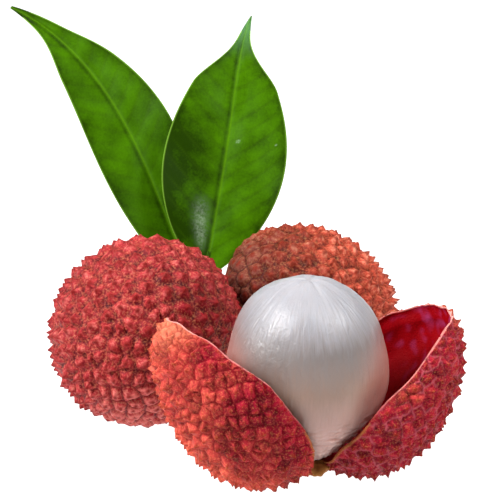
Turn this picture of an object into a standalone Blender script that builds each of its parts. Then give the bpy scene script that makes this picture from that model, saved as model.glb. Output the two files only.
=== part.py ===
"""Bunch of lychees: two whole fruits and two leaves on a cut twig, with an opened fruit in front.

Metres, +Z up, +Y away from the opened fruit. The bunch rests on z = 0 on flats under its fruits and
its open peel, and is centred on the origin in X and Y. Every sub-part is one closed object.
"""

import math
import random
from typing import NamedTuple

import bmesh
import bpy
from mathutils import Matrix, Vector

MM = 0.001
UP = Vector((0, 0, 1))
GAP = 0.38 * MM  # air between pieces that touch
FLAT_DEPTH = 0.4 * MM  # how much of the lowest tubercles is worn flat where a fruit rests

# Whole fruits
TUBERCLES = 400
TIP_RISE = 0.75 * MM  # tubercle tip above the fruit's smooth form
VALLEY_DROP = 0.5 * MM  # groove between tubercles below it
STEM_CROWDING = 0.88  # below 1, tubercles grow wider toward the stem end
SHOULDER = 0.05  # how much wider the stem half is than the blossom half
DIMPLE_DEPTH = 1.6 * MM
DIMPLE_WIDTH = 0.35  # in radii
RELIEF_START = 0.1  # radians from the stem where the relief starts to grow
RELIEF_GROWN = 0.5  # radians from the stem where it is full
RELIEF_MEAN = 0.75  # share of the full relief half-way along a fruit
RELIEF_SLOPE = 0.25  # what the blossom end has more, and the stem end less

# Opened fruit
PEEL_TUBERCLES = 480
PEEL_TIP_RISE = 0.55 * MM
PEEL_VALLEY_DROP = 0.35 * MM
PEEL_WALL = 1.5 * MM  # inner face below the peel's smooth form
FULLER = 0.2  # share by which a cup is deeper at its hinge than half-way
TEAR_ALONG = 0.25 * MM  # waves of the torn rim
TEAR_ALONG_WAVES = 9
TEAR_ACROSS = 0.2 * MM
TEAR_ACROSS_WAVES = 14
LIP_PLACE = -0.55  # where a cup's front rim has its lip, from -1 at the hinge to 1 at the tip
LIP_SPREAD = 0.35
CUTTER_REACH = 1.3  # of the block that cuts the rim, over the bowl's own size
BRIDGE_CENTRE = Vector((11.3, -7.8, 3.3)) * MM
BRIDGE_TURN = math.radians(17)
BRIDGE_HALF = Vector((3.2, 3.4, 1.3)) * MM
ARIL_CENTRE = Vector((10.3, -6.0, 21.6)) * MM
ARIL_GIRTH = 14.8 * MM
ARIL_HALF_LENGTH = 17.4 * MM
ARIL_LEAN = math.radians(7)  # top toward the front
ARIL_DENT = 0.35 * MM
ARIL_TAPER = 0.15  # how much the lower end narrows

# Twig and leaves
NODE_POINT = Vector((-9.2, 51.3, 20.2)) * MM  # where stalks and leaves leave the twig
TWIG_END = Vector((-13.5, 71.0, 9.5)) * MM
TWIG_RADIUS = 1.5 * MM
TWIG_SWELL = 1.2  # its radius at the node, over that at the cut end
TWIG_SAG = 0.8 * MM
TWIG_START = -0.06  # share of its length, just past the node
TWIG_STEPS = 6
STALK_RADIUS = 1.0 * MM
CALYX_RADIUS = 1.7 * MM
CALYX_THICK = 0.7 * MM
CALYX_NARROWER = 0.85  # its radius on the stalk's side, over that on the fruit's
CALYX_NECK = 0.4 * MM  # from the calyx to where the stalk is thin
LEAF_THICK = 0.7 * MM
LEAF_FOLD = math.radians(9)  # each half rises from the midrib
LEAF_ROWS = 22
LEAF_COLUMNS = 8
BLADE_BASE = 0.02  # shares of the leaf's length where its blade starts and ends
BLADE_TIP = 0.985
WIDEST_EARLY = 0.8  # below 1, the blade is widest before its middle
DRAWN_FROM = 0.7  # shares of the length over which the tip is drawn out
DRAWN_TO = 0.9
HOOK_POWER = 8  # keeps the sideways turn in the drawn-out tip
EDGE_WAVES = 13  # radians of the edge's waves along the blade
EDGE_STAGGER = 2  # radians between its left and right waves, each way
BLADE_START = 3.0 * MM  # of a blade from the twig
PETIOLE_RADIUS = 0.85 * MM
RIB_TAPER = 0.75
RIB_COVER = 0.12 * MM  # of blade over the midrib on the front
RIB_STATIONS = (0.06, 0.2, 0.4, 0.6, 0.8)

# Colours: linear red, green, blue
LEFT_RED = (0.36, 0.035, 0.045)
BACK_RED = (0.40, 0.055, 0.028)
PEEL_RED = (0.42, 0.04, 0.05)
ARIL_WHITE = (0.72, 0.68, 0.68)
LEAF_GREEN = (0.06, 0.21, 0.01)
TWIG_BROWN = (0.16, 0.09, 0.045)


class Fruit(NamedTuple):
    """A whole fruit: where it rests, which way its stem end faces, and its size over the tips."""

    name: str
    x: float
    y: float
    stem: Vector
    girth: float
    half_length: float
    colour: tuple
    seed: int


class Cup(NamedTuple):
    """One half of the opened peel, as an ellipsoid bowl hinged at one end of its long axis."""

    name: str
    side: int  # -1 lies to the left of its hinge, 1 to the right
    hinge: Vector
    turn: float  # heading of the bowl's long axis, from the X axis
    lean: float  # of the bowl's long axis from the vertical
    half_length: float
    half_width: float
    depth: float
    saddle: float  # rise of the rim half-way along
    lip: float  # further rise of the front rim near the hinge
    twist: float  # turns the rim about the bowl's long axis
    seed: int


class Leaf(NamedTuple):
    """A leaf blade: its heading from the twig, size and droop."""

    name: str
    heading: float  # in its plane, from straight up, positive to the right
    length: float
    half_width: float
    bow: float  # sideways bend of the midrib, positive to the right
    hook: float  # sideways turn of the tip
    lean: float  # back from the vertical
    curl: float  # backward bend of the tip
    seat: float  # share of the twig's length behind its node where the stalk starts
    waves: float
    drawn_out: float  # how much the tip is narrowed


FRUITS = (
    Fruit("fruit_left", -20.75 * MM, 26.2 * MM, Vector((11.7, 22.0, 4.0)),
          19.05 * MM, 20.6 * MM, LEFT_RED, 11),
    Fruit("fruit_back", 11.5 * MM, 47.5 * MM, Vector((-20.2, 3.0, 6.0)),
          17.45 * MM, 20.1 * MM, BACK_RED, 23),
)
CUPS = (
    Cup("cup_left", -1, Vector((9.9, -6.0, 2.5)) * MM, math.radians(13.6), math.radians(40),
        19.5 * MM, 17.4 * MM, 13.4 * MM, 3.0 * MM, 0.0, math.radians(10), 31),
    Cup("cup_right", 1, Vector((12.5, -6.0, 3.1)) * MM, math.radians(20.5), math.radians(42.5),
        18.8 * MM, 17.4 * MM, 12.8 * MM, 3.7 * MM, 1.0 * MM, math.radians(-7), 47),
)
LEAVES = (
    Leaf("leaf_left", math.radians(-30.4), 79.5 * MM, 9.3 * MM, 5.2 * MM, -4.0 * MM,
         math.radians(28), 2.0 * MM, 0.3, 0.4 * MM, 0.3),
    Leaf("leaf_right", math.radians(7.2), 63.5 * MM, 13.1 * MM, 1.0 * MM, 2.6 * MM,
         math.radians(26), 2.5 * MM, 0.16, 0.5 * MM, 0.6),
)


def clear_scene():
    """Remove every object, so that the script starts from nothing."""
    for thing in list(bpy.data.objects):
        bpy.data.objects.remove(thing, do_unlink=True)


def material(name, colour, roughness):
    """A plain Principled material."""
    made = bpy.data.materials.new(name)
    made.use_nodes = True
    shader = made.node_tree.nodes["Principled BSDF"]
    shader.inputs["Base Color"].default_value = (*colour, 1)
    shader.inputs["Roughness"].default_value = roughness
    shader.inputs["Metallic"].default_value = 0
    made.diffuse_color = (*colour, 1)
    return made


def add_object(name, bm, finish=None):
    """Turn a bmesh into a smooth-shaded object."""
    bmesh.ops.recalc_face_normals(bm, faces=bm.faces[:])
    mesh = bpy.data.meshes.new(name)
    bm.to_mesh(mesh)
    bm.free()
    mesh.shade_smooth()
    mesh.set_sharp_from_angle(angle=math.radians(40))
    thing = bpy.data.objects.new(name, mesh)
    bpy.context.scene.collection.objects.link(thing)
    if finish:
        mesh.materials.append(finish)
    return thing


def combine(target, tool, operation):
    """Apply a Boolean of the tool to the target, and remove the tool."""
    modifier = target.modifiers.new(operation.lower(), "BOOLEAN")
    modifier.operation = operation
    modifier.solver = "EXACT"
    modifier.object = tool
    bpy.context.view_layer.update()
    graph = bpy.context.evaluated_depsgraph_get()
    mesh = bpy.data.meshes.new_from_object(target.evaluated_get(graph))
    target.modifiers.clear()
    target.data = mesh
    bpy.data.objects.remove(tool, do_unlink=True)


def smooth_step(low, high, value):
    """Ease from 0 at low to 1 at high."""
    t = min(1.0, max(0.0, (value - low) / (high - low)))
    return t * t * (3 - 2 * t)


def sunflower_points(count, crowding, rng):
    """Directions on the unit sphere in a sunflower spiral, each nudged at random."""
    golden_turn = math.pi * (3 - math.sqrt(5))
    nudge = 0.3 * math.sqrt(4 * math.pi / count)
    for i in range(count):
        z = 1 - 2 * ((i + 0.5) / count) ** crowding
        ring = math.sqrt(1 - z * z)
        angle = i * golden_turn
        point = Vector((ring * math.cos(angle), ring * math.sin(angle), z))
        offset = Vector(rng.uniform(-nudge, nudge) for _ in range(3))
        yield (point + offset).normalized()


def tubercled_sphere(count, crowding, seed):
    """A unit sphere of small pyramids: returns the bmesh and each tip's height factor.

    The tips are the spiral's points. Their triangles are poked, and each first edge is turned to
    join the two new centres, so that the centres become the grooves round every tip.
    """
    rng = random.Random(seed)
    bm = bmesh.new()
    for point in sunflower_points(count, crowding, rng):
        bm.verts.new(point)
    bmesh.ops.convex_hull(bm, input=bm.verts[:])
    tips = {vert: rng.uniform(0.75, 1.15) for vert in bm.verts}
    first_edges = bm.edges[:]
    bmesh.ops.poke(bm, faces=bm.faces[:])
    bmesh.ops.rotate_edges(bm, edges=first_edges)
    for vert in bm.verts:
        vert.co.normalize()
    return bm, tips


def lychee_form(way, girth, half_length):
    """The fruit's smooth surface along a direction from its centre, stem end up."""
    width = girth * (1 + SHOULDER * way.z)
    dimple = 0.0
    if way.z > 0:
        dimple = DIMPLE_DEPTH * math.exp(-(way.x ** 2 + way.y ** 2) / DIMPLE_WIDTH ** 2)
    return Vector((width * way.x, width * way.y, half_length * way.z - dimple))


def cut_flat(bm, height):
    """Cut off what is below a height, and close the cuts with flat faces."""
    cut = bmesh.ops.bisect_plane(
        bm, geom=bm.verts[:] + bm.edges[:] + bm.faces[:], dist=1e-7,
        plane_co=(0, 0, height), plane_no=UP, clear_inner=True)
    rims = [item for item in cut["geom_cut"] if isinstance(item, bmesh.types.BMEdge)]
    bmesh.ops.edgeloop_fill(bm, edges=rims)


def whole_fruit(fruit):
    """A closed, tubercled fruit that rests on the floor on a small flat."""
    bm, tips = tubercled_sphere(TUBERCLES, STEM_CROWDING, fruit.seed)
    girth = fruit.girth - TIP_RISE
    half_length = fruit.half_length - TIP_RISE
    for vert in bm.verts:
        way = vert.co.copy()
        relief = TIP_RISE * tips[vert] if vert in tips else -VALLEY_DROP
        from_stem = math.acos(max(-1.0, min(1.0, way.z)))
        grown = smooth_step(RELIEF_START, RELIEF_GROWN, from_stem)
        slope = RELIEF_MEAN - RELIEF_SLOPE * way.z
        vert.co = lychee_form(way, girth, half_length) + way * relief * grown * slope
    turn = UP.rotation_difference(fruit.stem.normalized()).to_matrix().to_4x4()
    bmesh.ops.transform(bm, matrix=turn, verts=bm.verts[:])
    floor = min(vert.co.z for vert in bm.verts) + FLAT_DEPTH
    cut_flat(bm, floor)
    thing = add_object(fruit.name, bm, material(fruit.name + "_peel", fruit.colour, 0.55))
    thing.location = (fruit.x, fruit.y, -floor)
    return thing


def cup_matrix(cup):
    """The bowl's frame: X from the hinge to the tip, Z out of its opening."""
    heading = Vector((math.cos(cup.turn), math.sin(cup.turn), 0)) * cup.side
    along = heading * math.sin(cup.lean) + UP * math.cos(cup.lean)
    opening = UP * math.sin(cup.lean) - heading * math.cos(cup.lean)
    opening.rotate(Matrix.Rotation(cup.twist, 3, along))
    across = opening.cross(along)
    frame = Matrix((along, across, opening)).transposed().to_4x4()
    return Matrix.Translation(cup.hinge + along * cup.half_length) @ frame


def bowl_form(way, cup, inset):
    """The bowl's smooth surface along a direction, fuller toward the hinge."""
    fuller = 1 - FULLER * way.x
    return Vector((
        (cup.half_length - inset) * way.x,
        (cup.half_width - inset) * way.y,
        (cup.depth - inset) * way.z * fuller,
    ))


def rim_height(cup, x, y):
    """The torn rim's height over the bowl's mid plane."""
    along = x / cup.half_length
    across = y / cup.half_width
    saddle = cup.saddle * (1 - along ** 2)
    front = smooth_step(0.0, 0.6, -across * cup.side)
    lip = cup.lip * front * math.exp(-((along - LIP_PLACE) / LIP_SPREAD) ** 2)
    tear = TEAR_ALONG * math.sin(TEAR_ALONG_WAVES * along + cup.seed)
    tear += TEAR_ACROSS * math.sin(TEAR_ACROSS_WAVES * across + cup.seed)
    return saddle + lip + tear


def rim_cutter(cup):
    """A block over the bowl whose underside is the torn rim's wavy surface."""
    bm = bmesh.new()
    bmesh.ops.create_grid(bm, x_segments=16, y_segments=10, size=CUTTER_REACH)
    for vert in bm.verts:
        x = vert.co.x * cup.half_length
        y = vert.co.y * cup.half_width
        vert.co = (x, y, rim_height(cup, x, y))
    base = bmesh.ops.extrude_face_region(bm, geom=bm.faces[:])
    lifted = [item for item in base["geom"] if isinstance(item, bmesh.types.BMVert)]
    for vert in lifted:
        vert.co.z = 2 * cup.depth
    bmesh.ops.triangulate(bm, faces=bm.faces[:])
    return add_object(cup.name + "_cutter", bm)


def bowl_hollow(cup):
    """The smooth inner face of a cup, as a solid to take away."""
    bm = bmesh.new()
    bmesh.ops.create_icosphere(bm, subdivisions=3, radius=1)
    for vert in bm.verts:
        vert.co = bowl_form(vert.co.normalized(), cup, PEEL_WALL + PEEL_TIP_RISE)
    return add_object(cup.name + "_hollow", bm)


def peel_cup(cup):
    """One cup of the opened peel, tubercled outside and smooth inside."""
    bm, tips = tubercled_sphere(PEEL_TUBERCLES, 1.0, cup.seed)
    for vert in bm.verts:
        way = vert.co.copy()
        relief = PEEL_TIP_RISE * tips[vert] if vert in tips else -PEEL_VALLEY_DROP
        vert.co = bowl_form(way, cup, PEEL_TIP_RISE) + way * relief
    thing = add_object(cup.name, bm)
    combine(thing, bowl_hollow(cup), "DIFFERENCE")
    combine(thing, rim_cutter(cup), "DIFFERENCE")
    thing.data.transform(cup_matrix(cup))
    return thing


def bridge():
    """The strip of peel that still joins the cups, low at the front."""
    bm = bmesh.new()
    bmesh.ops.create_icosphere(bm, subdivisions=2, radius=1)
    turn = Matrix.Rotation(BRIDGE_TURN, 4, UP)
    scale = Matrix.Diagonal((*BRIDGE_HALF, 1))
    bmesh.ops.transform(bm, matrix=Matrix.Translation(BRIDGE_CENTRE) @ turn @ scale,
                        verts=bm.verts[:])
    return add_object("bridge", bm)


def opened_peel():
    """Both cups and their bridge as one piece, clear of the flesh and resting on the floor."""
    left, right = (peel_cup(cup) for cup in CUPS)
    combine(left, right, "UNION")
    combine(left, bridge(), "UNION")
    room = add_object("room", flesh_form(GAP + ARIL_DENT))
    room.data.transform(Matrix.Translation(ARIL_CENTRE))
    combine(left, room, "DIFFERENCE")
    bm = bmesh.new()
    bm.from_mesh(left.data)
    bpy.data.objects.remove(left, do_unlink=True)
    cut_flat(bm, 0)
    bmesh.ops.triangulate(bm, faces=bm.faces[:])
    return add_object("peel", bm, material("peel_skin", PEEL_RED, 0.5))


def flesh_form(margin, dent=0.0):
    """The flesh as an egg that narrows downward, grown by a margin and slightly dented."""
    bm = bmesh.new()
    bmesh.ops.create_icosphere(bm, subdivisions=4, radius=1)
    for vert in bm.verts:
        way = vert.co.normalized()
        girth = ARIL_GIRTH * (1 - ARIL_TAPER * max(0.0, -way.z) ** 1.5)
        dents = math.sin(3 * way.x + 5 * way.z) * math.cos(4 * way.y - 2 * way.z)
        vert.co = Vector((girth * way.x, girth * way.y, ARIL_HALF_LENGTH * way.z))
        vert.co += way * (margin + dent * dents)
    bmesh.ops.rotate(bm, matrix=Matrix.Rotation(ARIL_LEAN, 3, "X"), verts=bm.verts[:])
    return bm


def aril():
    """The white flesh that stands between the cups."""
    thing = add_object("aril", flesh_form(0.0, ARIL_DENT), material("aril_flesh", ARIL_WHITE, 0.25))
    thing.location = ARIL_CENTRE
    return thing


def tube(name, points, radii, sides=8):
    """A round stalk through points, closed at both ends."""
    bm = bmesh.new()
    rings = []
    for i, (point, radius) in enumerate(zip(points, radii)):
        before = points[max(0, i - 1)]
        after = points[min(len(points) - 1, i + 1)]
        turn = UP.rotation_difference((after - before).normalized()).to_matrix().to_4x4()
        made = bmesh.ops.create_circle(bm, segments=sides, radius=radius,
                                       matrix=Matrix.Translation(point) @ turn)
        ring = made["verts"]
        rings.append([ring[k].link_edges for k in range(sides)])
    edges = [[edge for links in ring for edge in links] for ring in rings]
    for low, high in zip(edges, edges[1:]):
        bmesh.ops.bridge_loops(bm, edges=list(set(low)) + list(set(high)))
    bmesh.ops.holes_fill(bm, edges=list(set(edges[0])) + list(set(edges[-1])), sides=sides)
    return add_object(name, bm)


def stem_pole(fruit, thing):
    """The middle of a placed fruit's stem dimple."""
    girth = fruit.girth - TIP_RISE
    pole = lychee_form(UP, girth, fruit.half_length - TIP_RISE)
    return thing.location + fruit.stem.normalized() * pole.length


def fruit_stalk(fruit, thing):
    """A short stalk from the twig to a fruit, ending in its small calyx."""
    outward = fruit.stem.normalized()
    seat = stem_pole(fruit, thing) + outward * GAP
    rim = seat + outward * CALYX_THICK
    neck = rim + outward * CALYX_NECK
    points = [seat, rim, neck, NODE_POINT]
    radii = [CALYX_RADIUS, CALYX_RADIUS * CALYX_NARROWER, STALK_RADIUS, STALK_RADIUS]
    return tube(fruit.name + "_stalk", points, radii)


def twig_point(place):
    """A point on the twig's axis: 0 at its node, 1 at its cut end."""
    sag = TWIG_SAG * math.sin(math.pi * place)
    return NODE_POINT.lerp(TWIG_END, place) - UP * sag


def twig(things):
    """The cut twig with both fruit stalks, one woody piece."""
    places = [TWIG_START + (1 - TWIG_START) * i / TWIG_STEPS for i in range(TWIG_STEPS + 1)]
    points = [twig_point(place) for place in places]
    radii = [TWIG_RADIUS * (TWIG_SWELL - (TWIG_SWELL - 1) * place) for place in places]
    thing = tube("twig", points, radii, sides=10)
    for fruit, placed in zip(FRUITS, things):
        combine(thing, fruit_stalk(fruit, placed), "UNION")
    thing.data.materials.clear()
    thing.data.materials.append(material("twig_bark", TWIG_BROWN, 0.8))
    return thing


def blade_half_width(leaf, t):
    """Half the blade's width along the leaf: widest before the middle, drawn out at the tip."""
    round_part = max(0.0, math.sin(math.pi * t ** WIDEST_EARLY))
    narrowing = 1 - leaf.drawn_out * smooth_step(DRAWN_FROM, DRAWN_TO, t)
    return leaf.half_width * round_part * narrowing


def leaf_frame(leaf):
    """The leaf's own axes: across to the right, along the blade, and toward the front."""
    up_plane = Vector((0, math.sin(leaf.lean), math.cos(leaf.lean)))
    right = Vector((1, 0, 0))
    along = up_plane * math.cos(leaf.heading) + right * math.sin(leaf.heading)
    front = right.cross(up_plane)
    across = along.cross(front)
    return across, along, front


def leaf_point(leaf, t, s, frame):
    """A point of the blade's front face: t from base to tip, s from -1 to 1 across it."""
    across, along, front = frame
    half = blade_half_width(leaf, t)
    bow = leaf.bow * math.sin(math.pi * t ** 1.2) + leaf.hook * t ** HOOK_POWER
    rise = half * abs(s) * math.tan(LEAF_FOLD)
    wave = leaf.waves * s * s * math.sin(EDGE_WAVES * t + EDGE_STAGGER * s)
    back = leaf.curl * t ** 3
    origin = twig_point(leaf.seat) + along * BLADE_START
    return (origin + along * (leaf.length - BLADE_START) * t + across * (bow + half * s)
            + front * (rise + wave - back))


def leaf_blade(leaf, frame):
    """The thin blade, closed, with a raised midrib on its back."""
    bm = bmesh.new()
    bmesh.ops.create_grid(bm, x_segments=LEAF_COLUMNS, y_segments=LEAF_ROWS, size=1)
    bmesh.ops.triangulate(bm, faces=bm.faces[:])
    for vert in bm.verts:
        s, along = vert.co.x, (vert.co.y + 1) / 2
        t = BLADE_BASE + (BLADE_TIP - BLADE_BASE) * along
        vert.co = leaf_point(leaf, t, s, frame)
    bmesh.ops.recalc_face_normals(bm, faces=bm.faces[:])
    bmesh.ops.solidify(bm, geom=bm.faces[:], thickness=LEAF_THICK)
    bmesh.ops.triangulate(bm, faces=bm.faces[:])
    return add_object(leaf.name, bm)


def leaf_stalk(leaf, frame):
    """The petiole, which runs on as the raised midrib along the blade's back."""
    along, front = frame[1:]
    points = [twig_point(leaf.seat) + along * (TWIG_RADIUS * TWIG_SWELL + GAP)]
    radii = [PETIOLE_RADIUS]
    for t in RIB_STATIONS:
        radius = PETIOLE_RADIUS * (1 - RIB_TAPER * t)
        depth = max(radius + RIB_COVER, LEAF_THICK / 2)
        points.append(leaf_point(leaf, t, 0, frame) - front * depth)
        radii.append(radius)
    return tube(leaf.name + "_stalk", points, radii, sides=6)


def leaf(spec):
    """A leaf: blade, midrib and petiole in one piece."""
    frame = leaf_frame(spec)
    thing = leaf_blade(spec, frame)
    combine(thing, leaf_stalk(spec, frame), "UNION")
    thing.data.materials.clear()
    thing.data.materials.append(material(spec.name + "_green", LEAF_GREEN, 0.35))
    return thing


def centre_on_origin(things):
    """Hang every piece on one empty, and slide it so the bunch stands over the origin."""
    bpy.context.view_layer.update()
    corners = [thing.matrix_world @ Vector(corner) for thing in things for corner in thing.bound_box]
    middle = [(max(p[axis] for p in corners) + min(p[axis] for p in corners)) / 2 for axis in (0, 1)]
    root = bpy.data.objects.new("bunch", None)
    bpy.context.scene.collection.objects.link(root)
    for thing in things:
        thing.parent = root
    root.location = (-middle[0], -middle[1], 0)


def build():
    """Model the whole bunch."""
    clear_scene()
    whole = [whole_fruit(fruit) for fruit in FRUITS]
    pieces = [*whole, opened_peel(), aril(), twig(whole)]
    pieces += [leaf(spec) for spec in LEAVES]
    centre_on_origin(pieces)


if __name__ == "__main__":
    build()
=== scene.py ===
"""Looks of a bunch of lychees: tubercled peels, wet white flesh, glossy leaves and a woody twig.

Metres, +Z up, +Y away from the opened fruit. Each piece is drawn in the layout that the solids were
drawn in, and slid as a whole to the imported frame, so it stands where the solid it replaces stands.
"""

import logging
import math
import random
from dataclasses import dataclass, field
from enum import Enum

import bmesh
import bpy
import numpy as np
from mathutils import Matrix, Vector


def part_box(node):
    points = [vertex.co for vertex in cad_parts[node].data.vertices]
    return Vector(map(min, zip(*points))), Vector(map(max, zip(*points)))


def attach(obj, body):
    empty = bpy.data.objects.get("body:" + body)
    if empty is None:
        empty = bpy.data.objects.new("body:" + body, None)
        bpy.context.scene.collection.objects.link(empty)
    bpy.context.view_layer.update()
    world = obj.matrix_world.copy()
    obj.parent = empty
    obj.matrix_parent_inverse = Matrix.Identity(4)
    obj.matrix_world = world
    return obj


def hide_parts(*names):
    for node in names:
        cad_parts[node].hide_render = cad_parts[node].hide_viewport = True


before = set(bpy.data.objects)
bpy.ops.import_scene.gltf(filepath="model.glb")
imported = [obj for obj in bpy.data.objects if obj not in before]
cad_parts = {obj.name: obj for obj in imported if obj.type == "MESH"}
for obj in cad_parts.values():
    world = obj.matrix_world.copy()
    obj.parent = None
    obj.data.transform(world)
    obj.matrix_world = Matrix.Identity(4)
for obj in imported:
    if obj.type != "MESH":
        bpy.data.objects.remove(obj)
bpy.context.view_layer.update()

LOG = logging.getLogger("lychees")
BODY = "root"
MM = 0.001
UP = Vector((0, 0, 1))
WHITE = (1.0, 1.0, 1.0, 1.0)
GAP = 0.38 * MM  # air between pieces that touch

FLESH_CENTRE = Vector((10.3, -6.0, 21.6)) * MM
FLESH_GIRTH = 14.8 * MM
FLESH_HALF_LENGTH = 17.4 * MM
FLESH_LEAN = math.radians(7)  # top toward the front
FLESH_TAPER = 0.15  # how much the lower end narrows
FLESH_DENT = 0.35 * MM

NODE_POINT = Vector((-9.2, 51.3, 20.2)) * MM  # where stalks and leaves leave the twig
TWIG_END = Vector((-13.5, 71.0, 9.5)) * MM
TWIG_SAG = 0.8 * MM
TWIG_RADIUS = 1.5 * MM
TWIG_SWELL = 1.2  # its radius at the node, over that at the cut end

FINE_MESH = (6, 2)  # subdivisions and further cuts, for 184,320 triangles
CUP_MESH = (5, 4)
NOTHING = 1e-9  # keeps divisions from zero


class Side(Enum):
    """Which way a cup of the opened peel falls from its hinge."""

    LEFT = -1
    RIGHT = 1


# ---------------------------------------------------------------- small helpers


def linear(code: str) -> tuple[float, float, float, float]:
    """Turn an sRGB hex colour, "#RRGGBB", into linear light with an alpha of 1."""
    parts = [int(code[i:i + 2], 16) / 255 for i in (1, 3, 5)]
    return (*[p / 12.92 if p <= 0.04045 else ((p + 0.055) / 1.055) ** 2.4 for p in parts], 1.0)


def smooth_step(low: float, high: float, value: np.ndarray) -> np.ndarray:
    """Ease numbers from 0 at low to 1 at high."""
    t = np.clip((value - low) / (high - low), 0, 1)
    return t * t * (3 - 2 * t)


def ripples(points: np.ndarray, size: float, seed: int, waves: int = 40) -> np.ndarray:
    """Smooth, aimless relief: a sum of waves that run every way.

    Args:
        points: positions, one a row.
        size: the mean wavelength, in the points' unit.
        seed: chooses the waves.
        waves: how many are summed.

    Returns:
        One number a point, about -1 to 1.
    """
    rng = np.random.default_rng(seed)
    way = rng.normal(size=(waves, 3))
    way /= np.linalg.norm(way, axis=1)[:, None]
    way *= 2 * math.pi / (size * rng.uniform(0.6, 1.5, (waves, 1)))
    phase = rng.uniform(0, 2 * math.pi, waves)
    return np.sin(points @ way.T + phase).sum(axis=1) / math.sqrt(waves)


def wandered(points: np.ndarray, size: float, reach: float, seed: int) -> np.ndarray:
    """Move points aimlessly, about as far as reach, in waves of a mean size."""
    moves = [ripples(points, size, seed + axis) for axis in range(3)]
    return points + reach * np.stack(moves, axis=1)


def wire(tree: bpy.types.NodeTree, node: bpy.types.Node, inputs: dict) -> None:
    """Set a node's values and links.

    Args:
        tree: the node tree that it is in.
        node: the node.
        inputs: socket name or number to a value, or to the output socket to link.
    """
    for key, value in inputs.items():
        if isinstance(value, bpy.types.NodeSocket):
            tree.links.new(value, node.inputs[key])
        else:
            node.inputs[key].default_value = value


def add_node(tree: bpy.types.NodeTree, kind: str, inputs: dict | None = None,
             stops: tuple = (), **settings: object) -> bpy.types.Node:
    """Add a shader node, with its settings, values and links.

    Args:
        tree: the node tree that it goes into.
        kind: the node's type, without "ShaderNode".
        inputs: its values and links, as wire takes them.
        stops: (position, hex colour) pairs, for a colour ramp.
        settings: the node's own properties.

    Returns:
        The new node.
    """
    node = tree.nodes.new("ShaderNode" + kind)
    for name, value in settings.items():
        setattr(node, name, value)
    wire(tree, node, inputs or {})
    ramp = getattr(node, "color_ramp", None)
    for i, (place, code) in enumerate(stops):
        stop = ramp.elements[i] if i < 2 else ramp.elements.new(place)
        stop.position = place
        stop.color = linear(code)
    return node


def new_material(name: str, *marks: str) -> tuple:
    """Start a node material.

    Args:
        name: what the real surface is.
        marks: the attributes that it reads, each one number a point.

    Returns:
        The material, its node tree, its Principled shader, and its marks by name.
    """
    made = bpy.data.materials.new(name)
    made.use_nodes = True
    tree = made.node_tree
    read = {mark: add_node(tree, "Attribute", attribute_name=mark).outputs["Fac"] for mark in marks}
    return made, tree, tree.nodes["Principled BSDF"], read


def fine_sphere(subdivisions: int, cuts: int) -> bmesh.types.BMesh:
    """An even unit sphere.

    Args:
        subdivisions: of the icosphere that it starts from.
        cuts: further cuts of each edge.

    Returns:
        The sphere.
    """
    bm = bmesh.new()
    bmesh.ops.create_icosphere(bm, subdivisions=subdivisions, radius=1)
    if cuts:
        bmesh.ops.subdivide_edges(bm, edges=bm.edges[:], cuts=cuts, use_grid_fill=True)
    return bm


def fine_rod(sides: int, cuts: int) -> bmesh.types.BMesh:
    """A closed unit rod: radius 1, from z = 0 to z = 1, with rings along it.

    Args:
        sides: points round it.
        cuts: rings between its ends.

    Returns:
        The rod.
    """
    bm = bmesh.new()
    bmesh.ops.create_cone(bm, cap_ends=True, cap_tris=True, segments=sides, radius1=1, radius2=1,
                          depth=1, matrix=Matrix.Translation((0, 0, 0.5)))
    upright = [e for e in bm.edges if abs(e.verts[0].co.z - e.verts[1].co.z) > 0.5]
    bmesh.ops.subdivide_edges(bm, edges=upright, cuts=cuts)
    return bm


def fine_slab(columns: int, rows: int) -> bmesh.types.BMesh:
    """A closed slab: x from -1 to 1, y from 0 to 1, its faces at z = 0 and z = 1.

    Args:
        columns: strips across it.
        rows: strips along it.

    Returns:
        The slab.
    """
    bm = bmesh.new()
    bmesh.ops.create_grid(bm, x_segments=columns, y_segments=rows, size=1)
    bmesh.ops.transform(bm, verts=bm.verts[:],
                        matrix=Matrix.Diagonal((1, 0.5, 1, 1)) @ Matrix.Translation((0, 1, 0)))
    grown = bmesh.ops.extrude_face_region(bm, geom=bm.faces[:], use_keep_orig=True)
    lifted = [item for item in grown["geom"] if isinstance(item, bmesh.types.BMVert)]
    bmesh.ops.translate(bm, vec=UP, verts=lifted)
    return bm


def places(bm: bmesh.types.BMesh) -> np.ndarray:
    """The positions of a bmesh's points, one a row."""
    return np.array([vert.co for vert in bm.verts], float)


def directions(bm: bmesh.types.BMesh) -> np.ndarray:
    """The unit directions of a bmesh's points from its middle, one a row."""
    way = places(bm)
    return way / np.linalg.norm(way, axis=1)[:, None]


def unit(vector: Vector) -> np.ndarray:
    """A vector's direction."""
    return np.array(vector.normalized())


def along_path(rod: np.ndarray, path: np.ndarray, radius: np.ndarray) -> np.ndarray:
    """Bend a unit rod along a path.

    Args:
        rod: the rod's points.
        path: for each of them, the path's position there.
        radius: for each of them, the rod's radius there.

    Returns:
        The bent points.
    """
    order = np.unique(np.round(rod[:, 2], 6), return_index=True)[1]
    stations = rod[order, 2]
    line = path[order]
    heading = np.gradient(line, stations, axis=0)
    heading /= np.linalg.norm(heading, axis=1)[:, None]
    side = np.cross(heading, np.array((1.0, 0.0, 0.0)))
    side /= np.linalg.norm(side, axis=1)[:, None]
    over = np.cross(side, heading)
    row = np.searchsorted(stations, rod[:, 2] - 1e-4)
    flat = rod[:, 0:1] * side[row] + rod[:, 1:2] * over[row]
    return path + flat * radius[:, None]


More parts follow.
